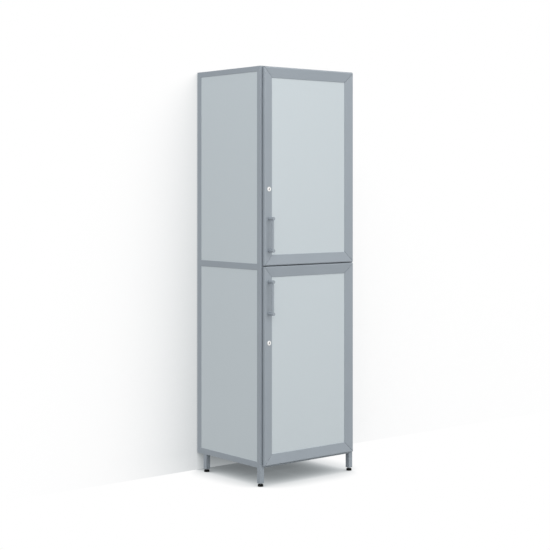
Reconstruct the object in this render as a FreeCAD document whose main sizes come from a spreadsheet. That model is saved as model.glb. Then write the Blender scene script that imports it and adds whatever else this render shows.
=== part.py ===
import FreeCAD, Part
import os
import re
import Sketcher

doc = FreeCAD.newDocument("storage_cabinet")
sheet = doc.addObject("Spreadsheet::Sheet", "Sizes")

# Driving sizes in millimetres
SIZES = {
    # carcass
    "width": 625, "depth": 532, "height": 2100, "floor_clear": 93,
    "wall": 2, "end_cap": 3, "play": 0.5, "groove_deep": 8,
    "tube_wide": 25, "rear_post_deep": 31,
    "top_rail_high": 27, "mid_rail_high": 31, "low_rail_high": 29, "mid_rail_drop": 4.5,
    "panel_thick": 8, "panel_set": 2, "deck_thick": 6, "deck_lip": 4,
    "back_thick": 4, "back_inset": 2,
    # fixings and clearances
    "hole_play": 0.1, "running_play": 0.1,
    "back_screw_edge": 40, "back_screw_dia": 3.5, "back_screw_head": 7, "back_screw_cap": 2,
    "back_screw_long": 10,
    # shelves
    "shelf_thick": 18, "shelf_side": 2, "shelf_rear": 7,
    "pin_dia": 5, "pin_long": 8, "tab_long": 10, "tab_wide": 12, "tab_high": 7,
    # rear legs and levelling feet
    "rear_leg_inset": 58, "foot_high": 18, "foot_rise": 5, "foot_dia": 28, "foot_round": 2.5,
    "plug_flange": 2, "plug_long": 20, "stem_dia": 8, "stem_clear": 23,
    # doors
    "door_inset": 12.5, "door_gap": 5.5, "door_thick": 16, "door_low": 104, "door_drop": 4, "door_split": 5,
    "bar_wide": 53, "bar_slope": 8.5, "bar_face": 5, "bar_wall": 2.5, "bar_round": 5, "bar_edge": 1,
    "saw_over": 2, "door_panel_step": 3, "door_panel_thick": 3,
    # handles
    "handle_near": 75, "handle_centres": 160, "handle_bar_dia": 12, "handle_bar_off": 31,
    "handle_lip": 2.4, "handle_tip": 4, "handle_bevel": 1.5, "handle_seat": 3,
    "handle_screw_dia": 4, "handle_screw_in": 12, "handle_screw_head": 8, "handle_screw_cap": 2.4,
    "thread_spare": 1,
    # locks
    "lock_clear": 10.5, "lock_far": 382, "lock_ring_dia": 24, "lock_ring_thick": 5, "lock_ring_bevel": 1.5,
    "lock_barrel_dia": 16, "lock_barrel_long": 20, "lock_bore": 10,
    "plug_head_dia": 14, "plug_head_thick": 2.2, "keyway_wide": 1.6, "keyway_high": 7, "keyway_deep": 8,
    "cam_square": 7, "cam_thick": 2.5, "cam_long": 24, "cam_wide": 10, "cam_taper": 4, "cam_gap": 0.5,
    "cam_clear": 1.5, "slot_play": 1.2,
    # hinges
    "knuckle_dia": 5, "hinge_pin_dia": 3, "leaf_clear": 0.25, "leaf_high": 81, "leaf_play": 0.3,
    "leaf_edge": 110, "pin_head_dia": 4.6, "pin_head_high": 1.5,
}
for row, (name, size) in enumerate(SIZES.items(), start=1):
    sheet.set(f"A{row}", name)
    sheet.set(f"B{row}", str(size))
    sheet.setAlias(f"B{row}", name)
doc.recompute()

# Places shared by several pieces, written with the sizes
LEFT = "-width/2"
RIGHT = "width/2"
REAR = "(depth - back_thick)"
RAIL_RUN = f"({REAR} - tube_wide - rear_post_deep)"
INSIDE = "(width - 2*tube_wide)"
DOOR_LEFT = f"({LEFT} + door_inset)"
DOOR_RIGHT = f"({RIGHT} - door_inset)"
DOOR_WIDE = "(width - 2*door_inset)"
DOOR_FRONT = "(-door_gap - door_thick)"
DOOR_HIGH = "((height - door_drop - door_low - door_split)/2)"
UPPER_LOW = f"(door_low + {DOOR_HIGH} + door_split)"
MID_LOW = f"({UPPER_LOW} - door_split/2 - mid_rail_high/2 - mid_rail_drop)"
HINGE_X = f"({RIGHT} - door_inset/2)"
HINGE_Y = "(-door_gap/2)"
LOCK_IN = "(tube_wide + lock_clear + lock_barrel_dia/2)"
GRIP_X = f"({LEFT} + {LOCK_IN})"
GRIP_IN = f"({LOCK_IN} - door_inset)"
HANDLE_REACH = "(handle_bar_off + handle_bar_dia/2 + handle_tip)"
HANDLE_POST_DIA = "(handle_bar_dia + 2*handle_lip)"
PANEL_SET = "(bar_slope + door_panel_step)"
GRIP_SEAT = f"(bar_slope*({GRIP_IN} + {HANDLE_POST_DIA}/2)/bar_wide)"
LOCK_SEAT = f"(bar_slope*({GRIP_IN} + lock_ring_dia/2)/bar_wide)"
CAM_SET = f"({LOCK_SEAT} + lock_barrel_long + cam_gap)"
FOOT_PAD = "(foot_high - plug_flange - foot_rise)"
ORIGIN_Y = f"-(depth - door_gap - door_thick + {GRIP_SEAT} - {HANDLE_REACH})/2"

# Each bay is divided into even steps: a row of pin holes, with a shelf at each third of the height
BAYS = {
    "upper": (f"({MID_LOW} + mid_rail_high)", "(height - top_rail_high)"),
    "lower": ("(floor_clear + low_rail_high)", MID_LOW),
}
BAY_STEPS = 15
ROW_START = 3
ROW_HOLES = 10
SHELF_STEPS = (5, 10)
FRONT_ROW = "(tube_wide/2)"
REAR_ROW = "(rear_post_deep/2)"
BACK_SCREWS = 6
BACK_SCREW_RUN = "(height - floor_clear - 2*back_screw_edge)"

Y_AXIS = FreeCAD.Vector(0, 1, 0)
TO_FRONT = FreeCAD.Rotation(FreeCAD.Vector(1, 0, 0), 90)
HALF_TURN = FreeCAD.Rotation(FreeCAD.Vector(0, 0, 1), 180)
TOUCH = 0.01
nodes = []


def ex(text):
    """The text as an expression on the sheet."""
    return re.sub(r"[a-z][a-z_]+", lambda word: "Sizes." + word.group(0), text)


def value(text):
    return float(sheet.evalExpression(text))


def flip(text, span, flipped):
    """A place measured from the other end of a span."""
    if not flipped:
        return text
    return {"0": span, span: "0"}.get(text, f"{span} - ({text})")


def step_high(bay, step):
    low, high = BAYS[bay]
    return f"({low} + {step}/{BAY_STEPS}*({high} - {low}))"


def place(obj, x, y, z, turn=None):
    """Set the piece in the shared frame from its place in the carcass."""
    if turn is not None:
        obj.Placement = FreeCAD.Placement(FreeCAD.Vector(), turn)
    for axis, text in (("x", x), ("y", f"{y} + {ORIGIN_Y}"), ("z", z)):
        obj.setExpression(f"Placement.Base.{axis}", ex(text))


def body(name, node=True):
    obj = doc.addObject("PartDesign::Body", name)
    obj.Label = name
    if node:
        nodes.append(obj)
    return obj


def sketch(owner, plane, offset="0"):
    """A sketch on one of the body's own planes, moved along the positive axis."""
    flat = next(f for f in owner.Origin.OriginFeatures if f.Role == plane + "_Plane")
    obj = owner.newObject("Sketcher::SketchObject", f"{owner.Name}_{plane}_sketch")
    obj.AttachmentSupport = [(flat, "")]
    obj.MapMode = "FlatFace"
    if offset != "0":
        obj.setExpression("AttachmentOffset.Base.z", ex(f"-({offset})" if plane == "XZ" else offset))
    return obj


def pin_point(obj, geo, point, x, y):
    """Hold a sketch point at a place given by two size expressions."""
    for kind, text, axis in (("DistanceX", x, -2), ("DistanceY", y, -1)):
        size = value(text)
        if text == "0":
            obj.addConstraint(Sketcher.Constraint("PointOnObject", geo, point, axis))
        elif size > 0:
            number = obj.addConstraint(Sketcher.Constraint(kind, -1, 1, geo, point, size))
            obj.setExpression(f"Constraints[{number}]", ex(text))
        else:
            number = obj.addConstraint(Sketcher.Constraint(kind, geo, point, -1, 1, -size))
            obj.setExpression(f"Constraints[{number}]", ex(f"-({text})"))


def loop(obj, corners):
    """A closed outline of straight lines through the corners."""
    first = obj.GeometryCount
    points = [FreeCAD.Vector(value(x), value(y), 0) for x, y in corners]
    count = len(points)
    for i in range(count):
        obj.addGeometry(Part.LineSegment(points[i], points[(i + 1) % count]))
    for i in range(count):
        obj.addConstraint(Sketcher.Constraint("Coincident", first + i, 2, first + (i + 1) % count, 1))
    for i, (x, y) in enumerate(corners):
        pin_point(obj, first + i, 1, x, y)


def rect(obj, x0, y0, x1, y1):
    loop(obj, [(x0, y0), (x1, y0), (x1, y1), (x0, y1)])


def square(obj, side):
    rect(obj, f"-{side}/2", f"-{side}/2", f"{side}/2", f"{side}/2")


def circle(obj, x, y, dia):
    centre = FreeCAD.Vector(value(x), value(y), 0)
    geo = obj.addGeometry(Part.Circle(centre, FreeCAD.Vector(0, 0, 1), value(dia) / 2))
    number = obj.addConstraint(Sketcher.Constraint("Diameter", geo, value(dia)))
    obj.setExpression(f"Constraints[{number}]", ex(dia))
    pin_point(obj, geo, 3, x, y)


def pad(owner, obj, plane, length):
    """Extrude the sketch along the positive axis."""
    feature = owner.newObject("PartDesign::Pad", f"{owner.Name}_pad")
    feature.Profile = obj
    feature.Reversed = plane == "XZ"
    feature.setExpression("Length", ex(length))
    return feature


def pocket(owner, obj, plane, length):
    """Cut the sketch along the positive axis."""
    feature = owner.newObject("PartDesign::Pocket", f"{owner.Name}_pocket")
    feature.Profile = obj
    feature.Reversed = plane != "XZ"
    feature.setExpression("Length", ex(length))
    return feature


def row_of(owner, feature, obj, span, count):
    """Repeat a feature up its sketch."""
    row = owner.newObject("PartDesign::LinearPattern", f"{owner.Name}_row")
    row.Originals = [feature]
    row.Direction = (obj, ["V_Axis"])
    row.setExpression("Length", ex(span))
    row.Occurrences = count
    owner.Tip = row
    doc.recompute()


def round_edges(owner, radius, test):
    """Round the edges of the body so far whose ends pass the test."""
    doc.recompute()
    base = owner.Tip
    edges = []
    for i, edge in enumerate(base.Shape.Edges, start=1):
        if all(test(vertex.Point) for vertex in edge.Vertexes):
            edges.append(f"Edge{i}")
    feature = owner.newObject("PartDesign::Fillet", f"{owner.Name}_round")
    feature.Base = (base, edges)
    feature.setExpression("Radius", ex(radius))


def turned(name, profile, node=True):
    """A piece turned about its own Z axis from a half profile of radius and height."""
    owner = body(name, node)
    obj = sketch(owner, "XZ")
    loop(obj, profile)
    feature = owner.newObject("PartDesign::Revolution", f"{name}_turn")
    feature.Profile = obj
    feature.ReferenceAxis = (obj, ["V_Axis"])
    feature.Angle = 360
    return owner


def slab(name, wide, deep, high, node=True):
    """A plain rectangular board."""
    owner = body(name, node)
    obj = sketch(owner, "XY")
    rect(obj, "0", "0", wide, deep)
    pad(owner, obj, "XY", high)
    return owner


def group(name, master, spots):
    """One node of identical pieces, each a link to the same master."""
    links = []
    for number, (x, y, z, turn) in enumerate(spots, start=1):
        link = doc.addObject("App::Link", f"{name}_{number}")
        link.LinkedObject = master
        place(link, x, y, z, turn)
        links.append(link)
    obj = doc.addObject("Part::Compound", name)
    obj.Label = name
    obj.Links = links
    nodes.append(obj)


# Corner posts: capped tubes with rows of shelf-pin holes; the front ones run on down as the front legs
def post(name, deep, low, right, rear):
    owner = body(name)
    outline = sketch(owner, "XY")
    rect(outline, "0", "0", "tube_wide", deep)
    pad(owner, outline, "XY", f"height - {low}")
    chamber = sketch(owner, "XY")
    rect(chamber, "wall", "wall", "tube_wide - wall", f"{deep} - wall")
    pocket(owner, chamber, "XY", f"height - {low} - end_cap")
    for bay in BAYS:
        holes = sketch(owner, "YZ", "0" if right else "tube_wide - wall")
        first = f"{step_high(bay, ROW_START)} - {low}"
        circle(holes, REAR_ROW if rear else FRONT_ROW, first, "pin_dia + hole_play")
        cut = pocket(owner, holes, "YZ", "wall")
        run = f"{step_high(bay, ROW_START + ROW_HOLES - 1)} - {step_high(bay, ROW_START)}"
        row_of(owner, cut, holes, run, ROW_HOLES)
    place(owner, f"{RIGHT} - tube_wide" if right else LEFT, f"{REAR} - {deep}" if rear else "0", low)
    return owner


lock_post = post("front_post_left", "tube_wide", "foot_high", False, False)
post("front_post_right", "tube_wide", "foot_high", True, False)
rear_posts = [post("rear_post_left", "rear_post_deep", "floor_clear", False, True),
              post("rear_post_right", "rear_post_deep", "floor_clear", True, True)]

# Slots in the left front post that take the lock cams
LOCK_HIGH = {"upper": f"({UPPER_LOW} + lock_far)", "lower": f"(door_low + {DOOR_HIGH} - lock_far)"}
slots = sketch(lock_post, "YZ", "tube_wide - wall")
for lock_z in LOCK_HIGH.values():
    rect(slots, f"{DOOR_FRONT} + {CAM_SET} - slot_play", f"{lock_z} - foot_high - cam_wide/2 - slot_play",
         f"{DOOR_FRONT} + {CAM_SET} + cam_thick + slot_play", f"{lock_z} - foot_high + cam_long + slot_play")
pocket(lock_post, slots, "YZ", "wall")

# Screw holes in the rear faces of the rear posts
for owner in rear_posts:
    holes = sketch(owner, "XZ", "rear_post_deep - wall")
    circle(holes, "tube_wide/2", "back_screw_edge", "back_screw_dia + hole_play")
    cut = pocket(owner, holes, "XZ", "wall")
    row_of(owner, cut, holes, BACK_SCREW_RUN, BACK_SCREWS)


# Side rails between the posts, grooved below or above for the side panels
def side_rail(name, high, right, below, above, low):
    near, far = "panel_set", "panel_set + panel_thick"
    corners = [("0", "0")]
    if below:
        corners += [(near, "0"), (near, "groove_deep"), (far, "groove_deep"), (far, "0")]
    corners += [("tube_wide", "0"), ("tube_wide", high)]
    if above:
        floor = f"{high} - groove_deep"
        corners += [(far, high), (far, floor), (near, floor), (near, high)]
    corners += [("0", high)]
    owner = body(name)
    outline = sketch(owner, "XZ")
    loop(outline, [(flip(x, "tube_wide", right), z) for x, z in corners])
    bottom = "groove_deep + wall" if below else "wall"
    top = f"{high} - groove_deep - wall" if above else f"{high} - wall"
    rect(outline, "wall", bottom, "tube_wide - wall", top)
    pad(owner, outline, "XZ", RAIL_RUN)
    place(owner, f"{RIGHT} - tube_wide" if right else LEFT, "tube_wide", low)


SIDES = (("left", False), ("right", True))
for side, right in SIDES:
    side_rail(f"{side}_top_rail", "top_rail_high", right, True, False, "height - top_rail_high")
    side_rail(f"{side}_mid_rail", "mid_rail_high", right, True, True, MID_LOW)
    side_rail(f"{side}_low_rail", "low_rail_high", right, False, True, "floor_clear")


# Front and rear cross rails, grooved on the inside for the top panel, middle deck and bottom panel
def cross_rail(name, high, rear, low):
    floor = "tube_wide - groove_deep"
    under, over = f"{high} - deck_lip - deck_thick", f"{high} - deck_lip"
    corners = [("0", "0"), ("tube_wide", "0"), ("tube_wide", under), (floor, under),
               (floor, over), ("tube_wide", over), ("tube_wide", high), ("0", high)]
    inner = "tube_wide - groove_deep - wall"
    hollow = [("wall", "wall"), (inner, "wall"), (inner, f"{high} - wall"), ("wall", f"{high} - wall")]
    owner = body(name)
    outline = sketch(owner, "YZ")
    for points in (corners, hollow):
        loop(outline, [(flip(y, "tube_wide", rear), z) for y, z in points])
    pad(owner, outline, "YZ", INSIDE)
    place(owner, f"{LEFT} + tube_wide", f"{REAR} - tube_wide" if rear else "0", low)


LEVELS = (("top", "top_panel", "top_rail_high", "height - top_rail_high"),
          ("mid", "middle_deck", "mid_rail_high", MID_LOW),
          ("low", "bottom_panel", "low_rail_high", "floor_clear"))
for level, deck, high, low in LEVELS:
    cross_rail(f"front_{level}_rail", high, False, low)
    cross_rail(f"rear_{level}_rail", high, True, low)
    board = slab(deck, INSIDE, f"{REAR} - 2*tube_wide + 2*groove_deep - 2*play", "deck_thick")
    under = f"{low} + {high} - deck_lip - deck_thick"
    place(board, f"{LEFT} + tube_wide", "tube_wide - groove_deep + play", under)

# Side panels standing in the grooves of the side rails, between the posts
for side, right in SIDES:
    for bay, (low, high) in BAYS.items():
        board = slab(f"{side}_{bay}_panel", "panel_thick", f"{RAIL_RUN} - 2*play",
                     f"{high} - {low} + 2*groove_deep - play")
        across = f"{RIGHT} - panel_set - panel_thick" if right else f"{LEFT} + panel_set"
        place(board, across, "tube_wide + play", f"{low} - groove_deep")

# Back panel and the flush screws that hold it to the rear posts
back = slab("back_panel", "width - 2*back_inset", "back_thick", "height - floor_clear - 2*back_inset")
place(back, f"{LEFT} + back_inset", REAR, "floor_clear + back_inset")
for across in ("tube_wide/2 - back_inset", "width - tube_wide/2 - back_inset"):
    for dia, start, deep in (("back_screw_dia", "0", "back_thick"),
                             ("back_screw_head", "back_thick - back_screw_cap", "back_screw_cap")):
        holes = sketch(back, "XZ", start)
        circle(holes, across, "back_screw_edge - back_inset", f"{dia} + hole_play")
        cut = pocket(back, holes, "XZ", deep)
        row_of(back, cut, holes, BACK_SCREW_RUN, BACK_SCREWS)
back_screw = turned("back_screw", [
    ("0", "0"), ("back_screw_head/2", "0"), ("back_screw_head/2", "back_screw_cap"),
    ("back_screw_dia/2", "back_screw_cap"), ("back_screw_dia/2", "back_screw_long"),
    ("0", "back_screw_long")], node=False)
spots = []
for across in (f"{LEFT} + tube_wide/2", f"{RIGHT} - tube_wide/2"):
    for number in range(BACK_SCREWS):
        screw_z = f"floor_clear + back_screw_edge + {number}/{BACK_SCREWS - 1}*{BACK_SCREW_RUN}"
        spots.append((across, "depth", screw_z, TO_FRONT))
group("back_screws", back_screw, spots)

# Shelves lying on the flat tabs of their pins, set back clear of the lock cams
SHELF_FRONT = f"({DOOR_FRONT} + {CAM_SET} + cam_thick + cam_clear)"
SHELF_DEEP = f"({REAR} - {SHELF_FRONT} - shelf_rear)"
shelf = slab("shelf", f"{INSIDE} - 2*shelf_side", SHELF_DEEP, "shelf_thick", node=False)
shelf_pin = body("shelf_pin", node=False)
tab = sketch(shelf_pin, "YZ", "pin_long")
rect(tab, "0", "0", "tab_wide", "tab_high")
pad(shelf_pin, tab, "YZ", "tab_long")
shank = sketch(shelf_pin, "YZ")
circle(shank, "tab_wide/2", "tab_high/2", "pin_dia")
pad(shelf_pin, shank, "YZ", "pin_long")
spots = []
for bay in BAYS:
    heights = [step_high(bay, step) for step in SHELF_STEPS]
    across = f"{LEFT} + tube_wide + shelf_side"
    group(f"{bay}_shelves", shelf, [(across, SHELF_FRONT, f"{z} + tab_high/2", None) for z in heights])
    for z in heights:
        for row_y in (FRONT_ROW, f"{REAR} - rear_post_deep + {REAR_ROW}"):
            pin_low = f"{z} - tab_high/2"
            spots.append((f"{LEFT} + tube_wide - pin_long", f"{row_y} - tab_wide/2", pin_low, None))
            spots.append((f"{RIGHT} - tube_wide + pin_long", f"{row_y} + tab_wide/2", pin_low, HALF_TURN))
group("shelf_pins", shelf_pin, spots)

# Rear legs of the same tube, the end plugs of all four legs and the levelling feet
leg = body("leg", node=False)
tube = sketch(leg, "XY")
rect(tube, "0", "0", "tube_wide", "tube_wide")
rect(tube, "wall", "wall", "tube_wide - wall", "tube_wide - wall")
pad(leg, tube, "XY", "floor_clear - foot_high")
leg_plug = slab("leg_plug", "tube_wide", "tube_wide", "plug_flange", node=False)
core = sketch(leg_plug, "XY", "plug_flange")
rect(core, "wall", "wall", "tube_wide - wall", "tube_wide - wall")
pad(leg_plug, core, "XY", "plug_long")
bore = sketch(leg_plug, "XY")
circle(bore, "tube_wide/2", "tube_wide/2", "stem_dia + running_play")
pocket(leg_plug, bore, "XY", "plug_flange + plug_long")
REAR_LEG_Y = "depth - rear_leg_inset - tube_wide"
STEM_TOP = "floor_clear - stem_clear"
corners = {"front_left": (LEFT, "0"), "front_right": (f"{RIGHT} - tube_wide", "0"),
           "rear_left": (LEFT, REAR_LEG_Y), "rear_right": (f"{RIGHT} - tube_wide", REAR_LEG_Y)}
group("rear_legs", leg, [(x, y, "foot_high", None) for x, y in corners.values() if y == REAR_LEG_Y])
group("leg_plugs", leg_plug, [(x, y, "foot_high - plug_flange", None) for x, y in corners.values()])
for spot, (x, y) in corners.items():
    foot = turned(f"foot_{spot}", [
        ("0", "0"), ("foot_dia/2", "0"), ("foot_dia/2", f"{FOOT_PAD} - foot_round"),
        ("foot_dia/2 - foot_round", FOOT_PAD),
        ("stem_dia/2", FOOT_PAD), ("stem_dia/2", STEM_TOP), ("0", STEM_TOP)])
    place(foot, f"{x} + tube_wide/2", f"{y} + tube_wide/2", "0")


# Hinges: a frame leaf with two knuckles, a door leaf with one between them, and a headed pin
def leaf(name, front, rear):
    owner = body(name, node=False)
    plate = sketch(owner, "XY")
    rect(plate, "-(tube_wide - door_inset/2)", front, "0", rear)
    pad(owner, plate, "XY", "leaf_high")
    return owner


def knuckle(owner, make, dia, low, length):
    ring = sketch(owner, "XY", low)
    circle(ring, "0", "0", dia)
    make(owner, ring, "XY", length)


KNUCKLE_ROOM = "knuckle_dia + 2*leaf_play"
frame_leaf = leaf("frame_leaf", "leaf_clear", "door_gap/2")
knuckle(frame_leaf, pad, "knuckle_dia", "0", "leaf_high")
knuckle(frame_leaf, pocket, KNUCKLE_ROOM, "leaf_high/3 - leaf_play", "leaf_high/3 + 2*leaf_play")
knuckle(frame_leaf, pocket, "hinge_pin_dia + running_play", "0", "leaf_high")
door_leaf = leaf("door_leaf", "-door_gap/2", "-leaf_clear")
knuckle(door_leaf, pocket, KNUCKLE_ROOM, "0", "leaf_high/3")
knuckle(door_leaf, pocket, KNUCKLE_ROOM, "2*leaf_high/3", "leaf_high/3")
knuckle(door_leaf, pad, "knuckle_dia", "leaf_high/3", "leaf_high/3")
knuckle(door_leaf, pocket, "hinge_pin_dia + running_play", "0", "leaf_high")
hinge_pin = turned("hinge_pin", [
    ("0", "0"), ("hinge_pin_dia/2", "0"), ("hinge_pin_dia/2", "leaf_high"), ("pin_head_dia/2", "leaf_high"),
    ("pin_head_dia/2", "leaf_high + pin_head_high"), ("0", "leaf_high + pin_head_high")], node=False)
DOORS = {"upper": UPPER_LOW, "lower": "door_low"}
hinge_spots = {}
for door, low in DOORS.items():
    heights = (f"{low} + leaf_edge", f"{low} + {DOOR_HIGH} - leaf_edge - leaf_high")
    hinge_spots[door] = [(HINGE_X, HINGE_Y, z, None) for z in heights]
group("hinge_frame_leaves", frame_leaf, hinge_spots["upper"] + hinge_spots["lower"])
group("hinge_pins", hinge_pin, hinge_spots["upper"] + hinge_spots["lower"])


# Door bars: hollow profiles whose face falls from a rounded outer edge to a panel groove, with mitred ends
def bar(name, length, holes=()):
    owner = body(name)
    outline = sketch(owner, "YZ")
    near, far = PANEL_SET, f"{PANEL_SET} + door_panel_thick"
    floor = "bar_wide - groove_deep"
    loop(outline, [("0", "0"), ("door_thick", "0"), ("door_thick", "bar_wide"), (far, "bar_wide"),
                   (far, floor), (near, floor), (near, "bar_wide"), ("bar_slope", "bar_wide")])
    inner = "bar_wide - groove_deep - bar_wall"
    rear = "door_thick - bar_wall"
    loop(outline, [("bar_face + bar_slope*bar_wall/bar_wide", "bar_wall"), (rear, "bar_wall"), (rear, inner),
                   (f"bar_face + bar_slope*({inner})/bar_wide", inner)])
    pad(owner, outline, "YZ", length)
    round_edges(owner, "bar_round", lambda p: abs(p.y) < TOUCH and abs(p.z) < TOUCH)
    lip_y, lip_z = value("bar_slope"), value("bar_wide")
    round_edges(owner, "bar_edge", lambda p: abs(p.y - lip_y) < TOUCH and abs(p.z - lip_z) < TOUCH)
    mitres = sketch(owner, "XZ")
    past = "bar_wide + saw_over"
    loop(mitres, [("-saw_over", "-saw_over"), (past, past), ("-saw_over", past)])
    end = f"{length} + saw_over"
    loop(mitres, [(end, "-saw_over"), (end, past), (f"{length} - bar_wide - saw_over", past)])
    pocket(owner, mitres, "XZ", "door_thick")
    for x, z, dia, deep in holes:
        drilled = sketch(owner, "XZ")
        circle(drilled, x, z, f"{dia} + hole_play")
        pocket(owner, drilled, "XZ", deep)
    return owner


# Handle post with a blind seat for the bar and a hole for its screw
handle_post = turned("handle_post", [
    ("0", "0"), (f"{HANDLE_POST_DIA}/2", "0"), (f"{HANDLE_POST_DIA}/2", f"{HANDLE_REACH} - handle_bevel"),
    (f"{HANDLE_POST_DIA}/2 - handle_bevel", HANDLE_REACH), ("0", HANDLE_REACH)], node=False)
seat = sketch(handle_post, "XZ", "-handle_seat")
circle(seat, "0", "handle_bar_off", "handle_bar_dia + hole_play")
pocket(handle_post, seat, "XZ", f"handle_seat + {HANDLE_POST_DIA}")
thread = sketch(handle_post, "XY")
circle(thread, "0", "0", "handle_screw_dia + hole_play")
pocket(handle_post, thread, "XY", "handle_screw_in + thread_spare")
SCREW_TIP = f"handle_screw_cap + door_thick - {GRIP_SEAT} + handle_screw_in"
handle_screw = turned("handle_screw", [
    ("0", "0"), ("handle_screw_head/2", "0"), ("handle_screw_head/2", "handle_screw_cap"),
    ("handle_screw_dia/2", "handle_screw_cap"), ("handle_screw_dia/2", SCREW_TIP),
    ("0", SCREW_TIP)], node=False)
UPSIDE_DOWN = FreeCAD.Rotation(Y_AXIS, 180)
ON_LEFT = FreeCAD.Rotation(Y_AXIS, 90)
ON_RIGHT = FreeCAD.Rotation(Y_AXIS, -90)
POST_OVER = UPSIDE_DOWN.multiply(TO_FRONT)

for door, low in DOORS.items():
    # Mitred frame round a recessed panel
    high = f"({low} + {DOOR_HIGH})"
    lock_z = LOCK_HIGH[door]
    grip_low = f"({low} + handle_near)" if door == "upper" else f"({high} - handle_near - handle_centres)"
    grip_high = f"({grip_low} + handle_centres)"
    holes = [(f"{high} - {lock_z}", GRIP_IN, "lock_ring_dia", LOCK_SEAT),
             (f"{high} - {lock_z}", GRIP_IN, "lock_barrel_dia", "door_thick")]
    for z in (grip_low, grip_high):
        holes.append((f"{high} - {z}", GRIP_IN, HANDLE_POST_DIA, GRIP_SEAT))
        holes.append((f"{high} - {z}", GRIP_IN, "handle_screw_dia", "door_thick"))
    place(bar(f"{door}_door_low_rail", DOOR_WIDE), DOOR_LEFT, DOOR_FRONT, low)
    place(bar(f"{door}_door_top_rail", DOOR_WIDE), DOOR_RIGHT, DOOR_FRONT, high, UPSIDE_DOWN)
    place(bar(f"{door}_door_lock_stile", DOOR_HIGH, holes), DOOR_LEFT, DOOR_FRONT, high, ON_LEFT)
    place(bar(f"{door}_door_hinge_stile", DOOR_HIGH), DOOR_RIGHT, DOOR_FRONT, low, ON_RIGHT)
    board = slab(f"{door}_door_panel", f"{DOOR_WIDE} - 2*bar_wide + 2*groove_deep - 2*play",
                 "door_panel_thick", f"{DOOR_HIGH} - 2*bar_wide + 2*groove_deep - play")
    place(board, f"{DOOR_LEFT} + bar_wide - groove_deep + play", f"{DOOR_FRONT} + {PANEL_SET}",
          f"{low} + bar_wide - groove_deep")
    group(f"{door}_hinge_door_leaves", door_leaf, hinge_spots[door])

    # Bar handle on the lock stile
    grip_long = "handle_centres + 2*handle_seat"
    grip = turned(f"{door}_handle_bar", [
        ("0", "0"), ("handle_bar_dia/2", "0"), ("handle_bar_dia/2", grip_long), ("0", grip_long)])
    seat_y = f"{DOOR_FRONT} + {GRIP_SEAT}"
    place(grip, GRIP_X, f"{seat_y} - handle_bar_off", f"{grip_low} - handle_seat")
    group(f"{door}_handle_posts", handle_post,
          [(GRIP_X, seat_y, grip_low, TO_FRONT), (GRIP_X, seat_y, grip_high, POST_OVER)])
    group(f"{door}_handle_screws", handle_screw,
          [(GRIP_X, "-door_gap + handle_screw_cap", z, TO_FRONT) for z in (grip_low, grip_high)])

    # Cam lock: ringed housing, keyed plug and the cam on its square tail
    face = "(lock_barrel_long + lock_ring_thick)"
    bore_r = "(lock_bore + running_play)/2"
    mouth_r = "(plug_head_dia + running_play)/2"
    mouth = f"{face} - plug_head_thick - running_play"
    housing = turned(f"{door}_lock_housing", [
        (bore_r, "0"), ("lock_barrel_dia/2", "0"), ("lock_barrel_dia/2", "lock_barrel_long"),
        ("lock_ring_dia/2", "lock_barrel_long"), ("lock_ring_dia/2", f"{face} - lock_ring_bevel"),
        ("lock_ring_dia/2 - lock_ring_bevel", face), (mouth_r, face), (mouth_r, mouth), (bore_r, mouth)])
    place(housing, GRIP_X, f"{DOOR_FRONT} + {LOCK_SEAT} + lock_barrel_long", lock_z, TO_FRONT)
    tail = f"({CAM_SET} + cam_thick)"
    plug_face = "(lock_ring_thick + lock_barrel_long + cam_gap + cam_thick)"
    plug_neck = f"{plug_face} - plug_head_thick"
    plug = turned(f"{door}_lock_plug", [
        ("0", "cam_thick"), ("lock_bore/2", "cam_thick"), ("lock_bore/2", plug_neck),
        ("plug_head_dia/2", plug_neck), ("plug_head_dia/2", plug_face), ("0", plug_face)])
    end = sketch(plug, "XY")
    square(end, "cam_square")
    pad(plug, end, "XY", "cam_thick")
    keyway = sketch(plug, "XY", f"{plug_face} - keyway_deep")
    rect(keyway, "-keyway_wide/2", "-keyway_high/2", "keyway_wide/2", "keyway_high/2")
    pocket(plug, keyway, "XY", "keyway_deep")
    place(plug, GRIP_X, f"{DOOR_FRONT} + {tail}", lock_z, TO_FRONT)
    cam = body(f"{door}_lock_cam")
    arm = sketch(cam, "XY")
    shoulder = "cam_long - cam_taper"
    loop(arm, [("-cam_wide/2", "-cam_wide/2"), ("cam_wide/2", "-cam_wide/2"), ("cam_wide/2", shoulder),
               ("cam_wide/4", "cam_long"), ("-cam_wide/4", "cam_long"), ("-cam_wide/2", shoulder)])
    square(arm, "cam_square")
    pad(cam, arm, "XY", "cam_thick")
    place(cam, GRIP_X, f"{DOOR_FRONT} + {tail}", lock_z, TO_FRONT)

doc.recompute()

# Every piece has to be whole before it is written
os.makedirs("parts", exist_ok=True)
for obj in doc.Objects:
    if "Invalid" in obj.State or "Error" in obj.State:
        raise RuntimeError(f"{obj.Name} did not recompute")
for obj in nodes:
    if obj.Shape.isNull() or not obj.Shape.isValid() or obj.Shape.Volume <= 0:
        raise RuntimeError(f"{obj.Label} has no sound solid")
    obj.Shape.exportStep(f"parts/{obj.Label}.step")
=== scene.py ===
"""Looks of a tall laboratory storage cabinet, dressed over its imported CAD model."""
import math
import bmesh
import bpy
from mathutils import Matrix, Vector


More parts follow.
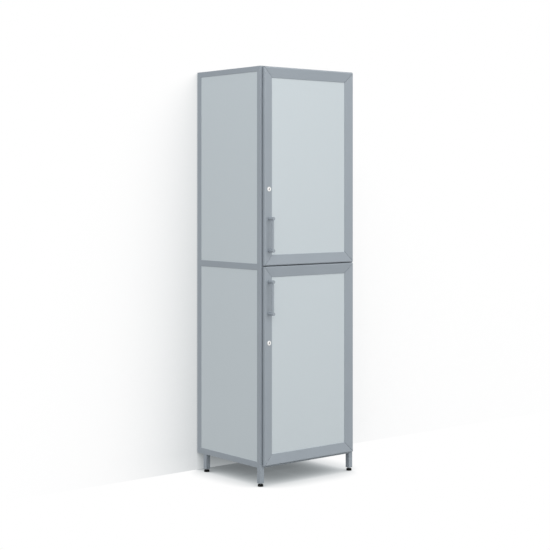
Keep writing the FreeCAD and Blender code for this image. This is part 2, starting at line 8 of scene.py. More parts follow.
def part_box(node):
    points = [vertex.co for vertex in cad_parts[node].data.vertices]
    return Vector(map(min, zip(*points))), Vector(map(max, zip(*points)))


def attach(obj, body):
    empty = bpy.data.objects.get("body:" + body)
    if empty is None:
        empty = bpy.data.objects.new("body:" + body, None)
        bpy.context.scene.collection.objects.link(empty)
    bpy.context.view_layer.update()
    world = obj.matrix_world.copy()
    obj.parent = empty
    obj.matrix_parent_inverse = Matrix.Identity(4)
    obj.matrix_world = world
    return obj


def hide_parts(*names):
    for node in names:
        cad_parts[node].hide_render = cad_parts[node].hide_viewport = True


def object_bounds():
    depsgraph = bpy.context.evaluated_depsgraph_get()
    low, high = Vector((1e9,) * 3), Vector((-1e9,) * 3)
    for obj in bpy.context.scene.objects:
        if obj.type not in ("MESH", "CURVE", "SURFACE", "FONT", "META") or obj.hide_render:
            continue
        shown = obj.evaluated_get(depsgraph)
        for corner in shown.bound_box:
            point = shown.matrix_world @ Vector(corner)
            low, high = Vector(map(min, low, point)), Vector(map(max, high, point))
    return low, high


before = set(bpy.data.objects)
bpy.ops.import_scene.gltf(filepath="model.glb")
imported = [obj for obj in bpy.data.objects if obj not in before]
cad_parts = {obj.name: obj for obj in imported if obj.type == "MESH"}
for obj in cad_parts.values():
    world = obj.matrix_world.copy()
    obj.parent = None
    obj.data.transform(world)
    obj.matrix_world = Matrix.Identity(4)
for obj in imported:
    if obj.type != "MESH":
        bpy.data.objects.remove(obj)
cad_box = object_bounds()

# Welded frame of square steel tube: four corner posts, the rails between them and two short rear legs.
# The tube is cold rolled with rounded corners, its joints are ground flush, and all of it is powder coated
# blue-grey. The front posts run on down to the floor as the front legs.
MM = 0.001
MERGE = 0.002 * MM
FLAT = math.radians(0.5)
FOLD = math.radians(50)
POST_ROUND = 0.7 * MM
RAIL_ROUND = 1 * MM
EDGE_STEPS = 2
TUBE_SHORTEST = 60 * MM
PEEL_CELL = 5 * MM
PEEL_DEEP = 0.04 * MM
BAKE_PATCH = 220 * MM


def linear(code):
    """A hex sRGB colour as linear red, green, blue and alpha."""
    shares = [int(code[start:start + 2], 16) / 255 for start in (1, 3, 5)]
    return [s / 12.92 if s <= 0.04045 else ((s + 0.055) / 1.055) ** 2.4 for s in shares] + [1]


def add_node(tree, kind, links=None, **settings):
    """A shader node with its settings, its links and its fixed inputs."""
    node = tree.nodes.new(kind)
    for name, setting in settings.items():
        setattr(node, name, setting)
    for socket, source in (links or {}).items():
        if isinstance(source, bpy.types.NodeSocket):
            tree.links.new(source, node.inputs[socket])
        else:
            node.inputs[socket].default_value = source
    return node


def new_finish(name):
    """A new material with its node tree and its surface shader."""
    material = bpy.data.materials.new(name)
    material.use_nodes = True
    tree = material.node_tree
    return material, tree, tree.nodes["Principled BSDF"]


def add_noise(tree, cell, detail):
    """A share that changes from cell to cell of one size, fixed to the piece."""
    coords = add_node(tree, "ShaderNodeTexCoord")
    noise = add_node(tree, "ShaderNodeTexNoise", {
        "Vector": coords.outputs["Object"], "Scale": 1 / cell, "Detail": detail})
    return noise.outputs["Fac"]


def add_mix(tree, share, first, second):
    """A colour that goes from the first to the second with a share."""
    mix = add_node(tree, "ShaderNodeMix", {0: share, 6: first, 7: second}, data_type="RGBA")
    return mix.outputs[2]


def add_skin(tree, shader, grain, rough, bump, deep):
    """A grain seen as a range of roughness and as bumps of a strength and a depth."""
    sheen = add_node(tree, "ShaderNodeMapRange", {"Value": grain, "To Min": rough[0], "To Max": rough[1]})
    skin = add_node(tree, "ShaderNodeBump", {"Height": grain, "Strength": bump, "Distance": deep})
    tree.links.new(sheen.outputs["Result"], shader.inputs["Roughness"])
    tree.links.new(skin.outputs["Normal"], shader.inputs["Normal"])


def add_piece(name, shape, material, body, slot, *nodes):
    """An object made from a finished bmesh, riding on its body in place of CAD nodes."""
    mesh = bpy.data.meshes.new(name)
    shape.to_mesh(mesh)
    shape.free()
    if "custom_normal" in mesh.attributes:
        mesh.attributes.remove(mesh.attributes["custom_normal"])
    mesh.materials.append(material)
    mesh.shade_smooth()
    mesh.set_sharp_from_angle(angle=FOLD)
    piece = bpy.data.objects.new(name, mesh)
    bpy.context.scene.collection.objects.link(piece)
    even = piece.modifiers.new("even_shading", "WEIGHTED_NORMAL")
    even.keep_sharp = True
    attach(piece, body)
    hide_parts(*nodes)
    return piece


def rounded_copy(node, radius, shortest):
    """A merged copy of a CAD node with its long sharp outer edges rounded."""
    shape = bmesh.new()
    shape.from_mesh(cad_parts[node].data)
    bmesh.ops.remove_doubles(shape, verts=shape.verts, dist=MERGE)
    bmesh.ops.dissolve_limit(shape, angle_limit=FLAT, verts=shape.verts, edges=shape.edges)
    edges = [edge for edge in shape.edges
             if edge.is_manifold and edge.is_convex
             and edge.calc_face_angle() > FOLD and edge.calc_length() > shortest]
    bmesh.ops.bevel(shape, geom=edges, offset=radius, segments=EDGE_STEPS, profile=0.5,
                    affect="EDGES", material=-1, clamp_overlap=True)
    return shape


# Satin powder coat over steel: an even blue-grey with a soft sheen, a faint orange-peel skin and slow
# changes of tone from the oven. The peel is drawn coarser than its real millimetre so that it shows.
powder_coat, tree, shader = new_finish("powder_coated_steel")
colour = add_mix(tree, add_noise(tree, BAKE_PATCH, 3.0), linear("#99a1a8"), linear("#a1a9b0"))
tree.links.new(colour, shader.inputs["Base Color"])
add_skin(tree, shader, add_noise(tree, PEEL_CELL, 2.0), rough=(0.42, 0.54), bump=0.2, deep=PEEL_DEEP)
shader.inputs["IOR"].default_value = 1.5

POSTS = ["front_post_left", "front_post_right", "rear_post_left", "rear_post_right", "rear_legs"]
RAILS = [f"{side}_{level}_rail"
         for side in ("left", "right", "front", "rear") for level in ("low", "mid", "top")]
for nodes, radius in ((POSTS, POST_ROUND), (RAILS, RAIL_ROUND)):
    for node in nodes:
        add_piece(f"{node}_tube", rounded_copy(node, radius, TUBE_SHORTEST), powder_coat,
                  "carcass", "frame_paint", node)

# Levelling feet: a black moulded pad on a threaded steel stem, which screws into a grey plastic plug
# pressed into each leg's open end. Turning a foot raises or lowers its corner of the cabinet.
PLUG_ROUND = 0.7 * MM
PLUG_SHORTEST = 22 * MM
PAD_HIGH = 11 * MM
PAD_TOP_ROUND = 2.5 * MM
PAD_FLOOR_ROUND = 0.8 * MM
STEM_CREST = 4 * MM
STEM_ROOT = 3.3 * MM
THREAD_PITCH = 1.25 * MM
THREAD_STEPS = 20
TURN_STEPS = 48
ROUND_STEPS = 5
MOULD_CELL = 2 * MM
MOULD_DEEP = 0.05 * MM
ZINC_CLOUD = 6 * MM
ZINC_DEEP = 0.02 * MM


def add_turned(shape, profile, place):
    """Adds a piece turned about Z from a half profile of radius, height and round, then places it."""
    older = set(shape.verts)
    corners = [shape.verts.new((radius, 0, height)) for radius, height, _ in profile]
    for pair in zip(corners, corners[1:]):
        shape.edges.new(pair)
    if profile[0][0] > 0:
        shape.edges.new((corners[-1], corners[0]))
    for corner, (_, _, reach) in zip(corners, profile):
        if reach > 0:
            bmesh.ops.bevel(shape, geom=[corner], offset=reach, segments=ROUND_STEPS, profile=0.5,
                            affect="VERTICES", material=-1)
    line = [vert for vert in shape.verts if vert not in older]
    edges = list({edge for vert in line for edge in vert.link_edges})
    bmesh.ops.spin(shape, geom=line + edges, cent=(0, 0, 0), axis=(0, 0, 1), angle=math.tau,
                   steps=TURN_STEPS, use_merge=True)
    bmesh.ops.remove_doubles(shape, verts=[vert for vert in shape.verts if vert not in older], dist=MERGE)
    fresh = [vert for vert in shape.verts if vert not in older]
    bmesh.ops.recalc_face_normals(shape, faces=list({face for vert in fresh for face in vert.link_faces}))
    bmesh.ops.transform(shape, matrix=place, verts=fresh)


# Moulded black plastic: deep black and dull, with the fine matt grain of a sparked mould.
# The grain is drawn at 2 mm, coarser than real, so that it shows.
black_plastic, tree, shader = new_finish("moulded_black_plastic")
grain = add_noise(tree, MOULD_CELL, 2.0)
tree.links.new(add_mix(tree, grain, linear("#040404"), linear("#090909")), shader.inputs["Base Color"])
add_skin(tree, shader, grain, rough=(0.7, 0.85), bump=0.3, deep=MOULD_DEEP)
shader.inputs["IOR"].default_value = 1.5
shader.inputs["Specular IOR Level"].default_value = 0.2

# Moulded grey plastic: coloured close to the paint, a little duller, with the same sparked grain.
grey_plastic, tree, shader = new_finish("moulded_grey_plastic")
grain = add_noise(tree, MOULD_CELL, 2.0)
tree.links.new(add_mix(tree, grain, linear("#8f979e"), linear("#979fa6")), shader.inputs["Base Color"])
add_skin(tree, shader, grain, rough=(0.5, 0.66), bump=0.3, deep=MOULD_DEEP)
shader.inputs["IOR"].default_value = 1.5

# Bright zinc plate on mild steel: a cool silver metal, clouded in patches where the bath left it duller.
zinc, tree, shader = new_finish("zinc_plated_steel")
cloud = add_noise(tree, ZINC_CLOUD, 3.0)
tree.links.new(add_mix(tree, cloud, linear("#b4b8ba"), linear("#cdd0cf")), shader.inputs["Base Color"])
add_skin(tree, shader, cloud, rough=(0.28, 0.42), bump=0.3, deep=ZINC_DEEP)
shader.inputs["Metallic"].default_value = 1.0

add_piece("leg_end_plugs", rounded_copy("leg_plugs", PLUG_ROUND, PLUG_SHORTEST), grey_plastic,
          "carcass", "plug_plastic", "leg_plugs")
for end in ("front", "rear"):
    for side in ("left", "right"):
        node = f"foot_{end}_{side}"
        low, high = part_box(node)
        radius = (high.x - low.x) / 2
        place = Matrix.Translation(((low.x + high.x) / 2, (low.y + high.y) / 2, low.z))
        pad = bmesh.new()
        add_turned(pad, [(0, 0, 0), (radius, 0, PAD_FLOOR_ROUND), (radius, PAD_HIGH, PAD_TOP_ROUND),
                         (0, PAD_HIGH, 0)], place)
        add_piece(f"{node}_pad", pad, black_plastic, node, "foot_plastic", node)
        stem = bmesh.new()
        turns = int((high.z - low.z - PAD_HIGH) / THREAD_PITCH)
        flank = [stem.verts.new(spot) for spot in (
            (STEM_ROOT, 0, 0), (STEM_CREST, 0, THREAD_PITCH / 2), (STEM_ROOT, 0, THREAD_PITCH))]
        edges = [stem.edges.new(pair) for pair in zip(flank, flank[1:])]
        bmesh.ops.spin(stem, geom=flank + edges, cent=(0, 0, 0), axis=(0, 0, 1), angle=math.tau * turns,
                       steps=THREAD_STEPS * turns, dvec=(0, 0, THREAD_PITCH / THREAD_STEPS))
        bmesh.ops.remove_doubles(stem, verts=stem.verts, dist=MERGE)
        bmesh.ops.holes_fill(stem, edges=[edge for edge in stem.edges if edge.is_boundary], sides=0)
        bmesh.ops.recalc_face_normals(stem, faces=stem.faces)
        bmesh.ops.transform(stem, matrix=place @ Matrix.Translation((0, 0, PAD_HIGH - THREAD_PITCH)),
                            verts=stem.verts)
        add_piece(f"{node}_stem", stem, zinc, node, "hardware_steel", node)

# Boards of the carcass and doors: side panels standing in the rails' grooves, door panels, decks and back.
# They are thin compact laminate sheets cut to size, with a plain light grey face and a fine matt grain.
# The back is screwed on from behind and its edges are broken by a light sanding.
BACK_ROUND = 0.6 * MM
BACK_SHORTEST = 100 * MM
GRAIN_CELL = 3 * MM
GRAIN_DEEP = 0.03 * MM
PRESS_PATCH = 300 * MM

# Pressed laminate: pale grey, nearly matt, with a barely seen speckle of pigment and a fine pressed grain.
# The grain is drawn a few times coarser than the real half millimetre so that it shows.
laminate, tree, shader = new_finish("compact_laminate")
grain = add_noise(tree, GRAIN_CELL, 4.0)
speckle = add_mix(tree, grain, linear("#cad2d5"), linear("#d2dadd"))
colour = add_mix(tree, add_noise(tree, PRESS_PATCH, 2.0), speckle, linear("#cfd7da"))
tree.links.new(colour, shader.inputs["Base Color"])
add_skin(tree, shader, grain, rough=(0.5, 0.62), bump=0.2, deep=GRAIN_DEEP)
shader.inputs["IOR"].default_value = 1.5

BOARDS = ["left_upper_panel", "left_lower_panel", "right_upper_panel", "right_lower_panel",
          "upper_door_panel", "lower_door_panel", "top_panel", "middle_deck", "bottom_panel"]
for node in BOARDS:
    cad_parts[node].data.materials.clear()
    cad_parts[node].data.materials.append(laminate)
add_piece("back_sheet", rounded_copy("back_panel", BACK_ROUND, BACK_SHORTEST), laminate,
          "carcass", "panel_board", "back_panel")

# Screws: twelve flush ones that hold the back to the rear posts, and two through each lock stile for
# its handle. They are cold headed from steel wire with a cross recess, thread rolled and zinc plated.
BACK_SCREW_ROWS = 6
RECESS_SPAN = 0.62
RECESS_NARROW = 0.75
RECESS_DEEP = 0.55
HEAD_FALL = 0.12


def add_screw(shape, place, head, cap, shank, length):
    """Adds a cross-recess screw with the top of its head at the place and its shank running down Z."""
    older = set(shape.verts)
    size = head * RECESS_SPAN / 2
    bmesh.ops.create_grid(shape, x_segments=3, y_segments=3, size=size)
    grid = [vert for vert in shape.verts if vert not in older]
    faces = {face for vert in grid for face in vert.link_faces}
    corners = [face for face in faces if min(map(abs, face.calc_center_median().xy)) > size / 2]
    for axis, narrow in enumerate(((RECESS_NARROW, 1, 1), (1, RECESS_NARROW, 1))):
        inner = [vert for vert in grid if abs(vert.co[axis]) < size / 2]
        bmesh.ops.scale(shape, vec=narrow, verts=inner)
    bmesh.ops.delete(shape, geom=corners, context="FACES")
    cross = list(faces.difference(corners))
    rim = [edge for face in cross for edge in face.edges if edge.is_boundary]
    for radius, fall in ((head / 2, -cap * HEAD_FALL), (head / 2, -cap),
                         (shank / 2, -cap), (shank / 2, -length)):
        ring = bmesh.ops.extrude_edge_only(shape, edges=rim)["geom"]
        rim = [item for item in ring if isinstance(item, bmesh.types.BMEdge) and item.is_boundary]
        for vert in {vert for edge in rim for vert in edge.verts}:
            vert.co.xy = vert.co.xy.normalized() * radius
            vert.co.z = fall
    bmesh.ops.holes_fill(shape, edges=rim, sides=0)
    pit = bmesh.ops.extrude_face_region(shape, geom=cross)["geom"]
    floor = [item for item in pit if isinstance(item, bmesh.types.BMVert)]
    bmesh.ops.translate(shape, vec=(0, 0, -cap * RECESS_DEEP), verts=floor)
    fresh = [vert for vert in shape.verts if vert not in older]
    bmesh.ops.recalc_face_normals(shape, faces=list({face for vert in fresh for face in vert.link_faces}))
    bmesh.ops.transform(shape, matrix=place, verts=fresh)


BACK_HEAD = 7 * MM
BACK_CAP = 2 * MM
BACK_SHANK = 3.5 * MM
TO_BACK = Matrix.Rotation(math.radians(-90), 4, "X")
low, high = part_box("back_screws")
screws = bmesh.new()
step = (high.z - low.z - BACK_HEAD) / (BACK_SCREW_ROWS - 1)
for across in (low.x + BACK_HEAD / 2, high.x - BACK_HEAD / 2):
    for row in range(BACK_SCREW_ROWS):
        place = Matrix.Translation((across, high.y, low.z + BACK_HEAD / 2 + row * step)) @ TO_BACK
        add_screw(screws, place, BACK_HEAD, BACK_CAP, BACK_SHANK, high.y - low.y)
add_piece("back_cross_screws", screws, zinc, "carcass", "hardware_steel", "back_screws")

# Four loose shelves of 18 mm board faced with the same laminate, lying on the flat tabs of steel pins.
# The shelves' edges are banded and trimmed to a small round; the pins are turned and then pressed flat.
SHELF_ROUND = 1 * MM
SHELF_SHORTEST = 12 * MM
PIN_ROUND = 0.8 * MM
PIN_SHORTEST = 5 * MM
for bay in ("upper", "lower"):
    add_piece(f"{bay}_shelf_boards", rounded_copy(f"{bay}_shelves", SHELF_ROUND, SHELF_SHORTEST), laminate,
              "carcass", "shelf_board", f"{bay}_shelves")
add_piece("shelf_tab_pins", rounded_copy("shelf_pins", PIN_ROUND, PIN_SHORTEST), zinc,
          "carcass", "hardware_steel", "shelf_pins")

# Butt hinges: two on each door, with one leaf welded to the right front post and one to the hinge stile.
# The leaves are rolled from zinc plated strip round a headed pin.
LEAF_ROUND = 0.4 * MM
LEAF_SHORTEST = 15 * MM
HINGE_BODIES = {"hinge_frame_leaves": "carcass", "upper_hinge_door_leaves": "upper_door",
                "lower_hinge_door_leaves": "lower_door"}
for node, body in HINGE_BODIES.items():
    add_piece(f"{node}_strip", rounded_copy(node, LEAF_ROUND, LEAF_SHORTEST), zinc,
              body, "hardware_steel", node)
PIN_HEAD_HIGH = 1.5 * MM
PIN_HEAD_ROUND = 0.7 * MM
PIN_SHANK = 1.5 * MM
HINGE_HIGH = 81 * MM
PIN_TOP = HINGE_HIGH + PIN_HEAD_HIGH
low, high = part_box("hinge_pins")
pins = bmesh.new()
head = (high.x - low.x) / 2
pin_spots = []
for node in ("upper_hinge_door_leaves", "lower_hinge_door_leaves"):
    leaf_low, leaf_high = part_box(node)
    pin_spots += [leaf_low.z, leaf_high.z - HINGE_HIGH]
for height in pin_spots:
    place = Matrix.Translation(((low.x + high.x) / 2, (low.y + high.y) / 2, height))
    add_turned(pins, [(0, 0, 0), (PIN_SHANK, 0, 0), (PIN_SHANK, HINGE_HIGH, 0), (head, HINGE_HIGH, 0),
                      (head, PIN_TOP, PIN_HEAD_ROUND), (0, PIN_TOP, 0)], place)
add_piece("hinge_headed_pins", pins, zinc, "carcass", "hardware_steel", "hinge_pins")

# Door frames: each door has four hollow bars whose faces slope back from a rounded outer edge to the panel.
# The bars are mitred at the corners, welded behind and powder coated; the mitres stay as fine open lines.
BAR_ROUND = 0.3 * MM
BAR_SHORTEST = 30 * MM
MITRE_BACK = 1 * MM
BAR_RUNS = {"hinge_stile": 2, "lock_stile": 2, "top_rail": 0, "low_rail": 0}
for door in ("upper", "lower"):
    for bar, axis in BAR_RUNS.items():
        node = f"{door}_door_{bar}"
        low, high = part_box(node)
        shorter = Vector((1, 1, 1))
        shorter[axis] = 1 - 2 * MITRE_BACK / (high - low)[axis]
        shape = rounded_copy(node, BAR_ROUND, BAR_SHORTEST)
        bmesh.ops.scale(shape, vec=shorter, space=Matrix.Translation((low + high) / -2), verts=shape.verts)
        add_piece(f"{node}_bar", shape, powder_coat, f"{door}_door", "frame_paint", node)

# Bar handles: a steel rod held in two thicker round posts, screwed on through the stile from behind.
# Rod and posts are powder coated with the doors; the posts' free ends are turned to a soft round.
POST_TIP = 1.1 * MM
ROD_END = 0.5 * MM
HANDLE_SCREW_HEAD = 8 * MM
HANDLE_SCREW_CAP = 2.4 * MM
HANDLE_SCREW_SHANK = 4 * MM
TO_FRONT = Matrix.Rotation(math.radians(90), 4, "X")
for door in ("upper", "lower"):
    low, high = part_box(f"{door}_handle_posts")
    radius = (high.x - low.x) / 2
    reach = high.y - low.y
    across = (low.x + high.x) / 2
    heights = (low.z + radius, high.z - radius)
    posts = bmesh.new()
    for height in heights:
        add_turned(posts, [(0, 0, 0), (radius, 0, 0), (radius, reach, POST_TIP), (0, reach, 0)],
                   Matrix.Translation((across, high.y, height)) @ TO_FRONT)
    add_piece(f"{door}_grip_posts", posts, powder_coat,
              f"{door}_door", "handle_paint", f"{door}_handle_posts")
    low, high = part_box(f"{door}_handle_bar")
    radius = (high.x - low.x) / 2
    length = high.z - low.z
    rod = bmesh.new()
    add_turned(rod, [(0, 0, 0), (radius, 0, ROD_END), (radius, length, ROD_END), (0, length, 0)],
               Matrix.Translation((across, (low.y + high.y) / 2, low.z)))
    add_piece(f"{door}_grip_rod", rod, powder_coat,
              f"{door}_door", "handle_paint", f"{door}_handle_bar")
    low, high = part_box(f"{door}_handle_screws")
    screws = bmesh.new()
    for height in heights:
        add_screw(screws, Matrix.Translation((across, high.y, height)) @ TO_BACK,
                  HANDLE_SCREW_HEAD, HANDLE_SCREW_CAP, HANDLE_SCREW_SHANK, high.y - low.y)
    add_piece(f"{door}_grip_screws", screws, zinc,
              f"{door}_door", "hardware_steel", f"{door}_handle_screws")

# Cam locks: a plated ring and barrel pressed into the stile, a keyed plug turning in it and a flat cam.
# The ring is die cast, tumbled and nickel plated; the cam is stamped from steel and blackened.
RING_HIGH = 5 * MM
RING_ROUND = 1.6 * MM
BARREL = 8 * MM
BORE = 5.05 * MM
MOUTH = 7.05 * MM
MOUTH_ROUND = 0.4 * MM
MOUTH_DEEP = 2.3 * MM
KEYWAY_WIDE = 1.6 * MM
KEYWAY_HIGH = 7 * MM
KEYWAY_DEEP = 8 * MM
KEYWAY_FLARE = Vector((2.2, 1, 1.15))
NEAR = 0.02 * MM
CAM_ROUND = 0.4 * MM
CAM_SHORTEST = 3 * MM
PLATE_CLOUD = 4 * MM
PLATE_DEEP = 0.02 * MM

# Satin nickel plate: a bright, slightly warm white metal that blurs what it mirrors.
nickel, tree, shader = new_finish("nickel_plated_casting")
cloud = add_noise(tree, PLATE_CLOUD, 2.0)
tree.links.new(add_mix(tree, cloud, linear("#ecebe8"), linear("#f6f5f2")), shader.inputs["Base Color"])
add_skin(tree, shader, cloud, rough=(0.36, 0.46), bump=0.3, deep=PLATE_DEEP)
shader.inputs["Metallic"].default_value = 1.0

# Blackened steel: a dark grey oxide skin, oily and uneven, on the stamped cam. On the keyway's faces the
# same dark colour is painted shade, standing in for the shade deep in the slot.
black_steel_and_keyway_shade, tree, shader = new_finish("blackened_steel_and_keyway_shade")
cloud = add_noise(tree, PLATE_CLOUD, 3.0)
tree.links.new(add_mix(tree, cloud, linear("#38393a"), linear("#4c4d4e")), shader.inputs["Base Color"])
add_skin(tree, shader, cloud, rough=(0.4, 0.58), bump=0.3, deep=PLATE_DEEP)
shader.inputs["Metallic"].default_value = 1.0

for door in ("upper", "lower"):
    low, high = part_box(f"{door}_lock_housing")
    ring = (high.x - low.x) / 2
    face = high.y - low.y
    place = Matrix.Translation(((low.x + high.x) / 2, high.y, (low.z + high.z) / 2)) @ TO_FRONT
    housing = bmesh.new()
    shoulder = face - RING_HIGH
    seat = face - MOUTH_DEEP
    add_turned(housing, [(BORE, 0, 0), (BARREL, 0, 0), (BARREL, shoulder, 0), (ring, shoulder, 0),
                         (ring, face, RING_ROUND), (MOUTH, face, MOUTH_ROUND), (MOUTH, seat, 0),
                         (BORE, seat, 0)], place)
    add_piece(f"{door}_lock_ring", housing, nickel, f"{door}_door", "lock_ring", f"{door}_lock_housing")
    low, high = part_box(f"{door}_lock_plug")
    plug = rounded_copy(f"{door}_lock_plug", CAM_ROUND, CAM_SHORTEST)
    centre = Vector(((low.x + high.x) / 2, low.y, (low.z + high.z) / 2))
    # Painted shade: the faces down in the keyway take the dark finish, as the slot's shade.
    for side in plug.faces:
        spot = side.calc_center_median() - centre
        if (abs(spot.x) < KEYWAY_WIDE / 2 + CAM_ROUND and abs(spot.z) < KEYWAY_HIGH / 2 + CAM_ROUND
                and NEAR < spot.y < KEYWAY_DEEP + CAM_ROUND):
            side.material_index = 1
    mouth = [vert for vert in plug.verts
             if abs(vert.co.x - centre.x) < KEYWAY_WIDE and abs(vert.co.z - centre.z) < KEYWAY_HIGH
             and vert.co.y - centre.y < CAM_ROUND + NEAR]
    bmesh.ops.scale(plug, vec=KEYWAY_FLARE, space=Matrix.Translation(-centre), verts=mouth)
    key_plug = add_piece(f"{door}_lock_key_plug", plug, nickel,
                         f"{door}_lock", "lock_steel", f"{door}_lock_plug")
    # The dark finish that paints the keyway's shade.
    key_plug.data.materials.append(black_steel_and_keyway_shade)
    add_piece(f"{door}_lock_arm", rounded_copy(f"{door}_lock_cam", CAM_ROUND, CAM_SHORTEST), black_steel_and_keyway_shade,
              f"{door}_lock", "lock_steel", f"{door}_lock_cam")

# Studio: a white floor and a white wall behind. To the camera both glow white, and the soft shade on them
# around the cabinet is painted shade: a glow dimmed by ambient occlusion, not a shadow from the lamps. The
# wall shows to the camera alone, from its front, so it takes no light and hides nothing.
STAGE_HALF = 30.0
UPRIGHT = math.radians(90)
WALL_GAP = 5 * MM
# Painted shade on the floor and wall: how far the occlusion looks, how open a spot must be to show full
# white, the darkest painted level, and the painted shade's power as a start and its change per metre.
FLOOR_REACH = 0.3
FLOOR_OPEN = 0.785
FLOOR_LEAST = 0.04
FLOOR_POWER = (0.9, (0, -0.1, 0))
WALL_REACH = 60.0
WALL_OPEN = 0.465
WALL_LEAST = 0.125
WALL_POWER = (1.05, (0.65, 0, -0.2))
SHADE_RAYS = 64
WORLD_LEVEL = 0.825


def add_seen(tree):
    """The share of rays that show the backdrop itself: from the camera, from gloss and through glass."""
    rays = add_node(tree, "ShaderNodeLightPath")
    direct = add_node(tree, "ShaderNodeMath", {
        0: rays.outputs["Is Camera Ray"], 1: rays.outputs["Is Glossy Ray"]}, operation="MAXIMUM")
    seen = add_node(tree, "ShaderNodeMath", {
        0: direct.outputs[0], 1: rays.outputs["Is Transmission Ray"]}, operation="MAXIMUM")
    return seen.outputs[0]


def add_sheet(name, half_wide, half_high, turn, place):
    """A flat sheet of the stage, turned about X and then moved to its place."""
    shape = bmesh.new()
    bmesh.ops.create_grid(shape, x_segments=1, y_segments=1, size=1)
    bmesh.ops.scale(shape, verts=shape.verts, vec=(half_wide, half_high, 1))
    bmesh.ops.rotate(shape, verts=shape.verts, cent=(0, 0, 0), matrix=Matrix.Rotation(turn, 3, "X"))
    bmesh.ops.translate(shape, verts=shape.verts, vec=place)
    mesh = bpy.data.meshes.new(name)
    shape.to_mesh(mesh)
    shape.free()
    sheet = bpy.data.objects.new(name, mesh)
    bpy.context.scene.collection.objects.link(sheet)
    return sheet


def add_backdrop(name, turn, place, reach, fully_open, least, power):
    """A large sheet that glows white to the camera, with painted shade where something stands within reach.

    The shade is painted: ambient occlusion dims the glow, with a faint blue-green tint as it deepens, and
    the lamps play no part in it; to other rays the sheet is a plain grey. The painted shade's power is a
    start value and its change with each metre, painted deeper where less light would fall.
    """
    paint, tree, shader = new_finish(f"{name}_paint")
    shader.inputs["Base Color"].default_value = linear("#a8a8a8")
    shader.inputs["Roughness"].default_value = 1.0
    shader.inputs["Specular IOR Level"].default_value = 0.0
    # Painted shade: the share of open directions around a spot sets how far its glow is dimmed.
    painted_shade_ao = add_node(tree, "ShaderNodeAmbientOcclusion", {"Distance": reach}, samples=SHADE_RAYS)
    open_share = add_node(tree, "ShaderNodeMapRange", {
        "Value": painted_shade_ao.outputs["AO"], "From Max": fully_open, "To Min": least, "To Max": 1.0})
    # The painted shade is made deeper or lighter across the sheet, standing in for light that falls
    # unevenly.
    start, change = power
    coords = add_node(tree, "ShaderNodeTexCoord")
    along = add_node(tree, "ShaderNodeVectorMath", {
        0: coords.outputs["Object"], 1: change}, operation="DOT_PRODUCT")
    painted_shade_power = add_node(tree, "ShaderNodeMath", {
        0: along.outputs["Value"], 1: start}, operation="ADD", use_clamp=True)
    level = add_node(tree, "ShaderNodeMath", {
        0: open_share.outputs["Result"], 1: painted_shade_power.outputs[0]}, operation="POWER")
    # Painted shade colour: faintly blue-green where the painted shade is deep, white where the sheet is
    # open.
    painted_shade_tint = add_mix(tree, level.outputs[0], linear("#effaff"), linear("#ffffff"))
    # The sheet glows at the painted level, though it is no lamp.
    glow = add_node(tree, "ShaderNodeEmission", {"Color": painted_shade_tint, "Strength": level.outputs[0]})
    front = add_node(tree, "ShaderNodeMixShader", {
        0: add_seen(tree), 1: shader.outputs["BSDF"], 2: glow.outputs["Emission"]})
    facing = add_node(tree, "ShaderNodeNewGeometry")
    clear = add_node(tree, "ShaderNodeBsdfTransparent")
    one_sided = add_node(tree, "ShaderNodeMixShader", {
        0: facing.outputs["Backfacing"], 1: front.outputs["Shader"], 2: clear.outputs["BSDF"]})
    tree.links.new(one_sided.outputs["Shader"], tree.nodes["Material Output"].inputs["Surface"])
    sheet = add_sheet(name, STAGE_HALF, STAGE_HALF, turn, place)
    sheet.data.materials.append(paint)
    return sheet


add_backdrop("studio_floor", 0, (0, 0, 0), FLOOR_REACH, FLOOR_OPEN, FLOOR_LEAST, FLOOR_POWER)
wall = add_backdrop("studio_wall", UPRIGHT, (0, cad_box[1][1] + WALL_GAP, STAGE_HALF),
                    WALL_REACH, WALL_OPEN, WALL_LEAST, WALL_POWER)
wall.visible_diffuse = False
wall.visible_glossy = False
wall.visible_transmission = False
wall.visible_shadow = False

# A low strip behind the wall's foot, as wide as the cabinet. No camera or bounce sees it; it only blocks
# shadow and occlusion rays, so that the painted shade on the floor under the cabinet stays deep towards the
# back.
STRIP_HIGH = 100 * MM
STRIP_BACK = 1 * MM
strip = add_sheet("painted_shade_blocker", cad_box[1][0], STRIP_HIGH / 2, UPRIGHT,
                  (0, cad_box[1][1] + WALL_GAP + STRIP_BACK, STRIP_HIGH / 2))
strip.visible_camera = False
strip.visible_diffuse = False
strip.visible_glossy = False
strip.visible_transmission = False

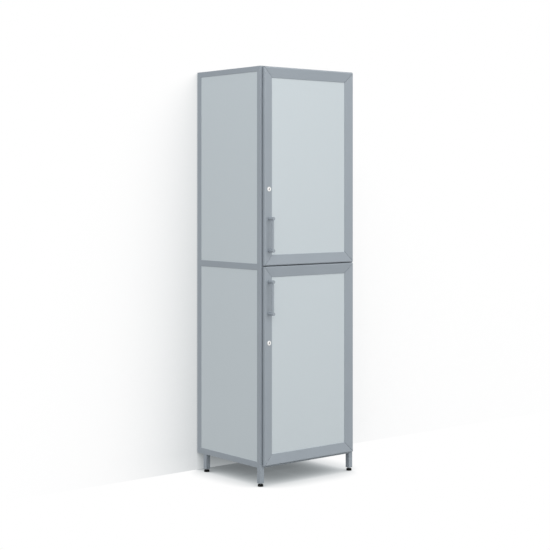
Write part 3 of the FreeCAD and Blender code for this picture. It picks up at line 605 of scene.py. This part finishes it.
# Even light from the whole room, white where it is seen itself.
world = bpy.data.worlds.new("soft_studio")
world.use_nodes = True
bpy.context.scene.world = world
tree = world.node_tree
level = add_node(tree, "ShaderNodeMapRange", {
    "Value": add_seen(tree), "To Min": WORLD_LEVEL, "To Max": 1.0})
tree.links.new(level.outputs["Result"], tree.nodes["Background"].inputs["Strength"])
tree.nodes["Background"].inputs["Color"].default_value = linear("#fbfdff")

# Four large soft lamps: two in front, left and right, a weak cool one over the left side, all set by the
# photograph, and one for the back.
LAMP_AIM = Vector((0, 0, 1))
LAMP_SIZE = 3.0
LAMPS = {
    "left_lamp": ((-2.0, -3.6, 3.8), 48, "#ffffff"),
    "right_lamp": ((1.0, -6.5, 4.6), 90, "#ffffff"),
    "side_lamp": ((-1.9, 0.2, 3.5), 7, "#e6f1ff"),
    "rear_lamp": ((2.4, 3.8, 3.4), 60, "#ffffff"),
}
for name, (place, power, colour) in LAMPS.items():
    lamp = bpy.data.lights.new(name, "AREA")
    lamp.shape = "SQUARE"
    lamp.size = LAMP_SIZE
    lamp.energy = power
    lamp.color = linear(colour)[:3]
    holder = bpy.data.objects.new(name, lamp)
    bpy.context.scene.collection.objects.link(holder)
    holder.location = place
    holder.rotation_euler = (LAMP_AIM - Vector(place)).to_track_quat("-Z", "Y").to_euler()

# Camera of the photograph, level, with the picture's frame shifted down.
CAMERA_PLACE = (-4.4792, -5.4019, 1.4857)
CAMERA_YAW = math.radians(-39.5381)
CAMERA_LENS = 87.18
CAMERA_SENSOR = 36.0
CAMERA_SHIFT = -0.15656
camera = bpy.data.cameras.new("photo_camera")
camera.lens = CAMERA_LENS
camera.sensor_width = CAMERA_SENSOR
camera.shift_y = CAMERA_SHIFT
camera_object = bpy.data.objects.new("photo_camera", camera)
bpy.context.scene.collection.objects.link(camera_object)
camera_object.location = CAMERA_PLACE
camera_object.rotation_euler = (UPRIGHT, 0, CAMERA_YAW)
bpy.context.scene.camera = camera_object
bpy.context.scene.view_settings.view_transform = "Standard"
